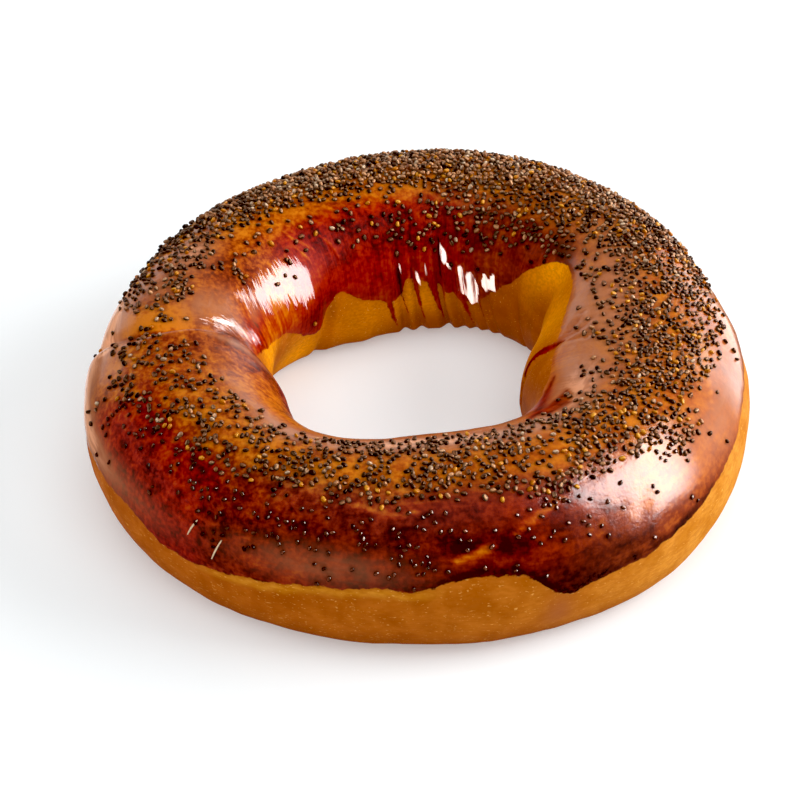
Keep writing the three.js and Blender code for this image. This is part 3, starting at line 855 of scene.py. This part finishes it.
def crust_piece(column, along, points, marks, material):
    """Mesh of the crust and of the flat underside that closes it."""
    steps = np.linspace(0, 1, BASE_ROWS + 1)[1:-1]
    foot = points[:, -1:] + (points[:, :1] - points[:, -1:]) * steps[None, :, None]
    foot[..., 2] = 0.0
    grid = np.concatenate([points, foot], axis=1)
    rows = grid.shape[1]
    index = np.arange(COLUMNS * rows).reshape(COLUMNS, rows)
    beside = np.roll(index, -1, axis=0)
    above, beside_above = np.roll(index, -1, axis=1), np.roll(beside, -1, axis=1)
    faces = np.stack([index, above, beside_above, beside], axis=-1).reshape(-1, 4)
    piece = new_mesh_object("crust", grid.reshape(-1, 3) * METRES, faces.tolist(), material)

    below = {"glaze": marks["glaze"].min(), "glint": -MARK_LIMIT, "underside": 1}
    for name, values in marks.items():
        at_foot = np.full((COLUMNS, len(steps)), below.get(name, 0))
        values = np.clip(values, -MARK_LIMIT, MARK_LIMIT)
        add_attribute(piece, name, np.concatenate([values, at_foot], axis=1))
    turn = np.radians(column)
    brush = np.stack([np.cos(turn), np.sin(turn), along], axis=-1)
    brush = np.concatenate([brush, np.repeat(brush[:, -1:], len(steps), axis=1)], axis=1)
    add_attribute(piece, "brush", brush, "FLOAT_VECTOR", "vector")
    return piece


def seed_density(column, along, points, glaze):
    """Seeds to the square millimetre on the crust, none of them on bare dough."""
    inner, outer = around_ring(SEED_BAND, column, 1), around_ring(SEED_BAND, column, 2)
    band = ramp(along - inner, SEED_BAND_SOFT)
    band = band * (1 - ramp(along - outer, SEED_BAND_SOFT))
    clumps = ramp(noise_on(points, *SEED_CLUMPS), SEED_CLUMP_EDGE)
    clumps = SEED_BETWEEN_CLUMPS + (1 - SEED_BETWEEN_CLUMPS) * clumps
    clumps = clumps + (1 - clumps) * HEAP_EVENNESS * near(HEAP_COLUMN, column, HEAP_REACH)
    density = band * around_ring(SEED_BAND, column, 3) * clumps + pools(SEED_SCATTER, column, along)
    return density * ramp(glaze, SEED_FREE_EDGE)


def heap_share(column, along):
    """From 0 where seeds lie singly to 1 where they are heaped."""
    past = along - around_ring(HEAP_EDGE, column)
    return near(HEAP_COLUMN, column, HEAP_REACH) * ramp(past, HEAP_EDGE_SOFT)


def heap_density(column, along):
    """Seeds to the square millimetre that lie on other seeds."""
    outer = around_ring(SEED_BAND, column, 2)
    return HEAP_DENSITY * (heap_share(column, along) * (1 - ramp(along - outer, SEED_BAND_SOFT)))


def scatter(density, points, random):
    """Places of seeds and their cells of the grid, drawn by density and kept apart by a seed's width."""
    across = np.linalg.norm(np.roll(points, -1, axis=0) - points, axis=-1)
    over = np.linalg.norm(np.diff(points, axis=1, append=points[:, -1:]), axis=-1)
    expected = (across * over * density).ravel()
    draws = random.choice(expected.size, size=int(SEED_TRIES * expected.sum()), p=expected / expected.sum())
    taken, places, cells = {}, [], []
    wanted = int(expected.sum())
    rows = density.shape[1]
    for cell in draws:
        i, j = divmod(int(cell), rows)
        share_i, share_j = random.random(2)
        low, high = [
            (1 - share_i) * points[i, row] + share_i * points[(i + 1) % COLUMNS, row]
            for row in (j, min(j + 1, rows - 1))
        ]
        place = (1 - share_j) * low + share_j * high
        key = tuple(np.floor(place / SEED_GAP).astype(int))
        beside = [
            other
            for dx in (-1, 0, 1) for dy in (-1, 0, 1) for dz in (-1, 0, 1)
            for other in taken.get((key[0] + dx, key[1] + dy, key[2] + dz), ())
        ]
        if all(np.sum((place - other) ** 2) > SEED_GAP**2 for other in beside):
            taken.setdefault(key, []).append(place)
            places.append(place)
            cells.append((i, j))
            if len(places) >= wanted:
                break
    return np.array(places), np.array(cells)


def all_seeds(column, along, points, normals, glaze, random):
    """Places, normals, columns and alongs of the seeds on the crust and of those heaped on them."""
    places, cells = scatter(seed_density(column, along, points, glaze), points, random)
    heaped, heaped_cells = scatter(heap_density(column, along), points, random)
    heaped = heaped + normals[tuple(heaped_cells.T)] * random.uniform(*HEAP_LIFT, size=(len(heaped), 1))
    single_columns, single_alongs = np.array(SINGLE_SEEDS).T
    single = [(single_columns + 180) * COLUMNS / 360, single_alongs * ROWS]
    single = np.round(np.stack(single, axis=1)).astype(int)
    cells = tuple(np.concatenate([cells, heaped_cells, single]).T)
    places = np.concatenate([places, heaped, points[tuple(single.T)]])
    return places, normals[cells], column[cells], along[cells]


def seed_kinds(column, along, random):
    """Name of each seed's kind."""
    heaped = heap_share(column, along)
    shares = np.array([low + (high - low) * heaped for low, high in SEED_KINDS.values()])
    drawn = (random.random(len(column)) > np.cumsum(shares, axis=0)).sum(axis=0)
    names = np.array(list(SEED_KINDS))[np.minimum(drawn, len(SEED_KINDS) - 1)]
    (start, end), edge = GLAZED_SEEDS
    return np.where((column > start) & (column < end) & (along > edge), "glazed", names)


def seed_shade(points, places):
    """Painted shade on the crust round the seeds: from 1 under a seed to 0 away from it, for the points of
    the crust.
    """
    tree = kdtree.KDTree(len(places))
    for number, place in enumerate(places):
        tree.insert(place, number)
    tree.balance()
    away = np.array([tree.find(place)[2] for place in points.reshape(-1, 3)]).reshape(points.shape[:-1])
    return bell(away / SEED_SHADE_REACH)


def seed_shape():
    """A kidney-shaped grain one unit long, as points and triangles."""
    grain_mesh = bmesh.new()
    bmesh.ops.create_icosphere(grain_mesh, subdivisions=2, radius=0.5)
    grain_mesh.verts.ensure_lookup_table()
    points = np.array([vertex.co[:] for vertex in grain_mesh.verts])
    faces = np.array([[vertex.index for vertex in face.verts] for face in grain_mesh.faces])
    grain_mesh.free()
    (bend, back), (waist, waist_half) = SEED_BEND, SEED_WAIST
    points[:, 1] += bend * points[:, 0] ** 2 - back
    points[:, 2] *= 1 - waist * bell(points[:, 0] / waist_half) * (points[:, 1] < 0)
    return points, faces


def seeds_piece(kind, places, normals, random, material):
    """All seeds of one kind as one mesh: each sunk into the crust and turned at random."""
    shape, faces = seed_shape()
    count = len(places)
    spin = random.uniform(0, 2 * np.pi, count)
    tilt = unit(normals + SEED_TILT * random.normal(size=(count, 3)))
    reference = np.where(np.abs(tilt[:, 2:]) < NEARLY_UPRIGHT, [[0, 0, 1]], [[1, 0, 0]])
    first = unit(np.cross(reference, tilt))
    second = np.cross(tilt, first)
    forward = np.cos(spin)[:, None] * first + np.sin(spin)[:, None] * second
    sideways = np.cross(tilt, forward)
    full_size = np.array(SEED_SIZE) * (GLAZED_SEED_SHARE if kind == "glazed" else 1)
    size = full_size * (1 + SEED_SPREAD * random.normal(size=(count, 1)).clip(-2, 2))
    local = shape[None] * size[:, None]
    points = places[:, None] + normals[:, None] * (0.5 - SEED_SUNK) * size[:, None, 2:]
    for axis, way in enumerate((forward, sideways, tilt)):
        points = points + local[..., axis, None] * way[:, None]
    all_faces = (faces[None] + len(shape) * np.arange(count)[:, None, None]).reshape(-1, 3).tolist()
    piece = new_mesh_object(f"seeds_{kind}", points.reshape(-1, 3) * METRES, all_faces, material)
    # Painted light: a seed's top lit and its sides in shade, times a random tone below
    lit_top = SEED_SIDE_TONE + (1 - SEED_SIDE_TONE) * ramp(shape[:, 2], SEED_TOP)
    add_attribute(piece, "tone", np.outer(random.random(count) ** SEED_FINISH[kind][-1], lit_top))
    return piece


def bristles_piece(shift, material):
    """Thin round slivers that lie in the glaze, each a tapered tube along its line."""
    points, faces = [], []
    share = np.linspace(0, 1, BRISTLE_STEPS)
    half = BRISTLE_HALF * tapered(BRISTLE_TIP, share)
    turn = np.linspace(0, 2 * np.pi, BRISTLE_SIDES, endpoint=False)
    for line in BRISTLES:
        knots = np.array(line, dtype=float)
        at = np.linspace(0, 1, len(knots))
        column, along = [np.polyval(np.polyfit(at, knots[:, axis], 2), share) for axis in (0, 1)]
        middle = ring_points(column, along)
        over = ring_points(column, along + SLOPE_STEP) - middle
        round_ring = ring_points(column + SLOPE_STEP, along) - middle
        out = unit(np.cross(over, round_ring))
        ahead = unit(np.gradient(middle, axis=0))
        aside = np.cross(ahead, out)
        hoop = np.cos(turn)[None, :, None] * aside[:, None] + np.sin(turn)[None, :, None] * out[:, None]
        tube = middle[:, None] + BRISTLE_RAISED * out[:, None] + half[:, None, None] * hoop - shift
        index = len(points) + np.arange(BRISTLE_STEPS * BRISTLE_SIDES).reshape(BRISTLE_STEPS, BRISTLE_SIDES)
        points.extend(tube.reshape(-1, 3))
        beside = np.roll(index, -1, axis=1)
        sides = np.stack([index[:-1], beside[:-1], beside[1:], index[1:]], axis=-1)
        faces.extend([*sides.reshape(-1, 4).tolist(), index[0][::-1].tolist(), index[-1].tolist()])
    return new_mesh_object("bristles", np.array(points) * METRES, faces, material)


def aim(piece, place, target):
    piece.location = place
    piece.rotation_euler = (Vector(target) - Vector(place)).to_track_quat("-Z", "Y").to_euler()


def add_camera(shift):
    target = (np.array(CAMERA_TARGET) - shift) * METRES
    climb = math.radians(CAMERA_ELEVATION)
    back = np.array([0, -math.cos(climb), math.sin(climb)]) * CAMERA_DISTANCE * METRES
    camera = add_object("camera", bpy.data.cameras.new("camera"))
    camera.data.lens = CAMERA_LENS
    camera.data.sensor_width = 36
    camera.data.clip_start = 0.01
    aim(camera, target + back, target)
    bpy.context.scene.camera = camera


# Softboxes: azimuth from +X, elevation, distance, width, height, brightness. The first are seen in the gloss
# alone, and the second light the matt colour alone, as behind a polarizer.
GLOSS_LIGHTS = {
    "key": (0, 27, 0.6, 0.5, 0.65, 18),
    "rim": (46, 4, 0.8, 0.4, 0.7, 3),
    "back": (100, 8, 0.8, 1.4, 0.5, 0.8),
    "left": (108, -37, 0.6, 0.3, 0.36, 1),
}
SOFT_LIGHTS = {
    "sky": (-80, 72, 1.1, 1.3, 1.3, 1.6),
    "side": (2, 28, 0.8, 0.55, 0.55, 7.6),
    "fill": (-100, 25, 0.9, 0.8, 0.5, 0.45),
    "far side": (178, 12, 0.9, 0.8, 0.25, 5.5),
    "behind": (95, 34, 0.9, 0.8, 0.5, 1.4),
}
LIGHT_TARGET = (0, 0, 0.015)
WORLD_LIGHT = 0.05
FLOOR_COLOURS = (0.68, 0.72, 0.735), (0.71, 0.75, 0.765)
FLOOR_GRAIN = 3
FLOOR_HALF = 3
FLOOR_DROP = 0.0002
BLACK_LEVEL = 0.008  # of the picture, as the photograph's deep tones have it


def add_softbox(name, azimuth, elevation, distance, width, height, brightness):
    light = bpy.data.lights.new(name, "AREA")
    light.shape = "RECTANGLE"
    light.size, light.size_y = width, height
    light.energy = brightness * math.pi * width * height
    lamp = add_object(name, light)
    turn, climb = math.radians(azimuth), math.radians(elevation)
    flat = math.cos(climb)
    direction = Vector((flat * math.cos(turn), flat * math.sin(turn), math.sin(climb)))
    aim(lamp, direction * distance, LIGHT_TARGET)
    return lamp


def add_lights():
    for name, box in GLOSS_LIGHTS.items():
        add_softbox(name, *box).visible_diffuse = False
    for name, box in SOFT_LIGHTS.items():
        add_softbox(name, *box).visible_glossy = False
    n = Nodes(bpy.data.worlds.new("studio"), "Background")
    seen = n.add("ShaderNodeLightPath", {}, "Is Camera Ray")
    strength = n.spread(seen, to=(WORLD_LIGHT, 1))
    bpy.context.scene.world = n.finish({"Color": (1, 1, 1, 1), "Strength": strength})


def add_floor():
    n = Nodes(bpy.data.materials.new("floor"))
    material = n.finish({
        "Base Color": n.mix(n.grain(n.place(), FLOOR_GRAIN), *FLOOR_COLOURS),
        "Roughness": 0.9,
        "Specular IOR Level": 0,
        "Emission Color": (1, 1, 1, 1),
        "Emission Strength": 0.32,
    })
    corners = np.array([(-1, -1, 0), (1, -1, 0), (1, 1, 0), (-1, 1, 0)]) * FLOOR_HALF - [0, 0, FLOOR_DROP]
    floor = new_mesh_object("floor", corners, [[0, 1, 2, 3]], material)
    floor.visible_glossy = floor.visible_shadow = False


random = np.random.default_rng(RANDOM_SEED)
column, along, points, normals, glaze, depth, shift = make_crust()
add_camera(shift)
add_lights()
add_floor()
view = bpy.context.scene.view_settings
view.view_transform = "Standard"
view.use_curve_mapping = True
view.curve_mapping.black_level = [BLACK_LEVEL] * 3
view.curve_mapping.update()

seed_places, seed_normals, *seed_spots = all_seeds(column, along, points, normals, glaze, random)
shade = seed_shade(points, seed_places)
marks = crust_marks(column, along, points + shift, glaze, depth, shade)
crust = crust_piece(column, along, points, marks, crust_material())
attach(crust, "root")
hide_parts("bagel")

kind_of = seed_kinds(*seed_spots, random)
for kind in SEED_FINISH:
    chosen = kind_of == kind
    seeds = seeds_piece(kind, seed_places[chosen], seed_normals[chosen], random, seed_material(kind))
    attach(seeds, "root")

bristles = bristles_piece(shift, bristle_material())
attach(bristles, "root")

bpy.context.view_layer.update()
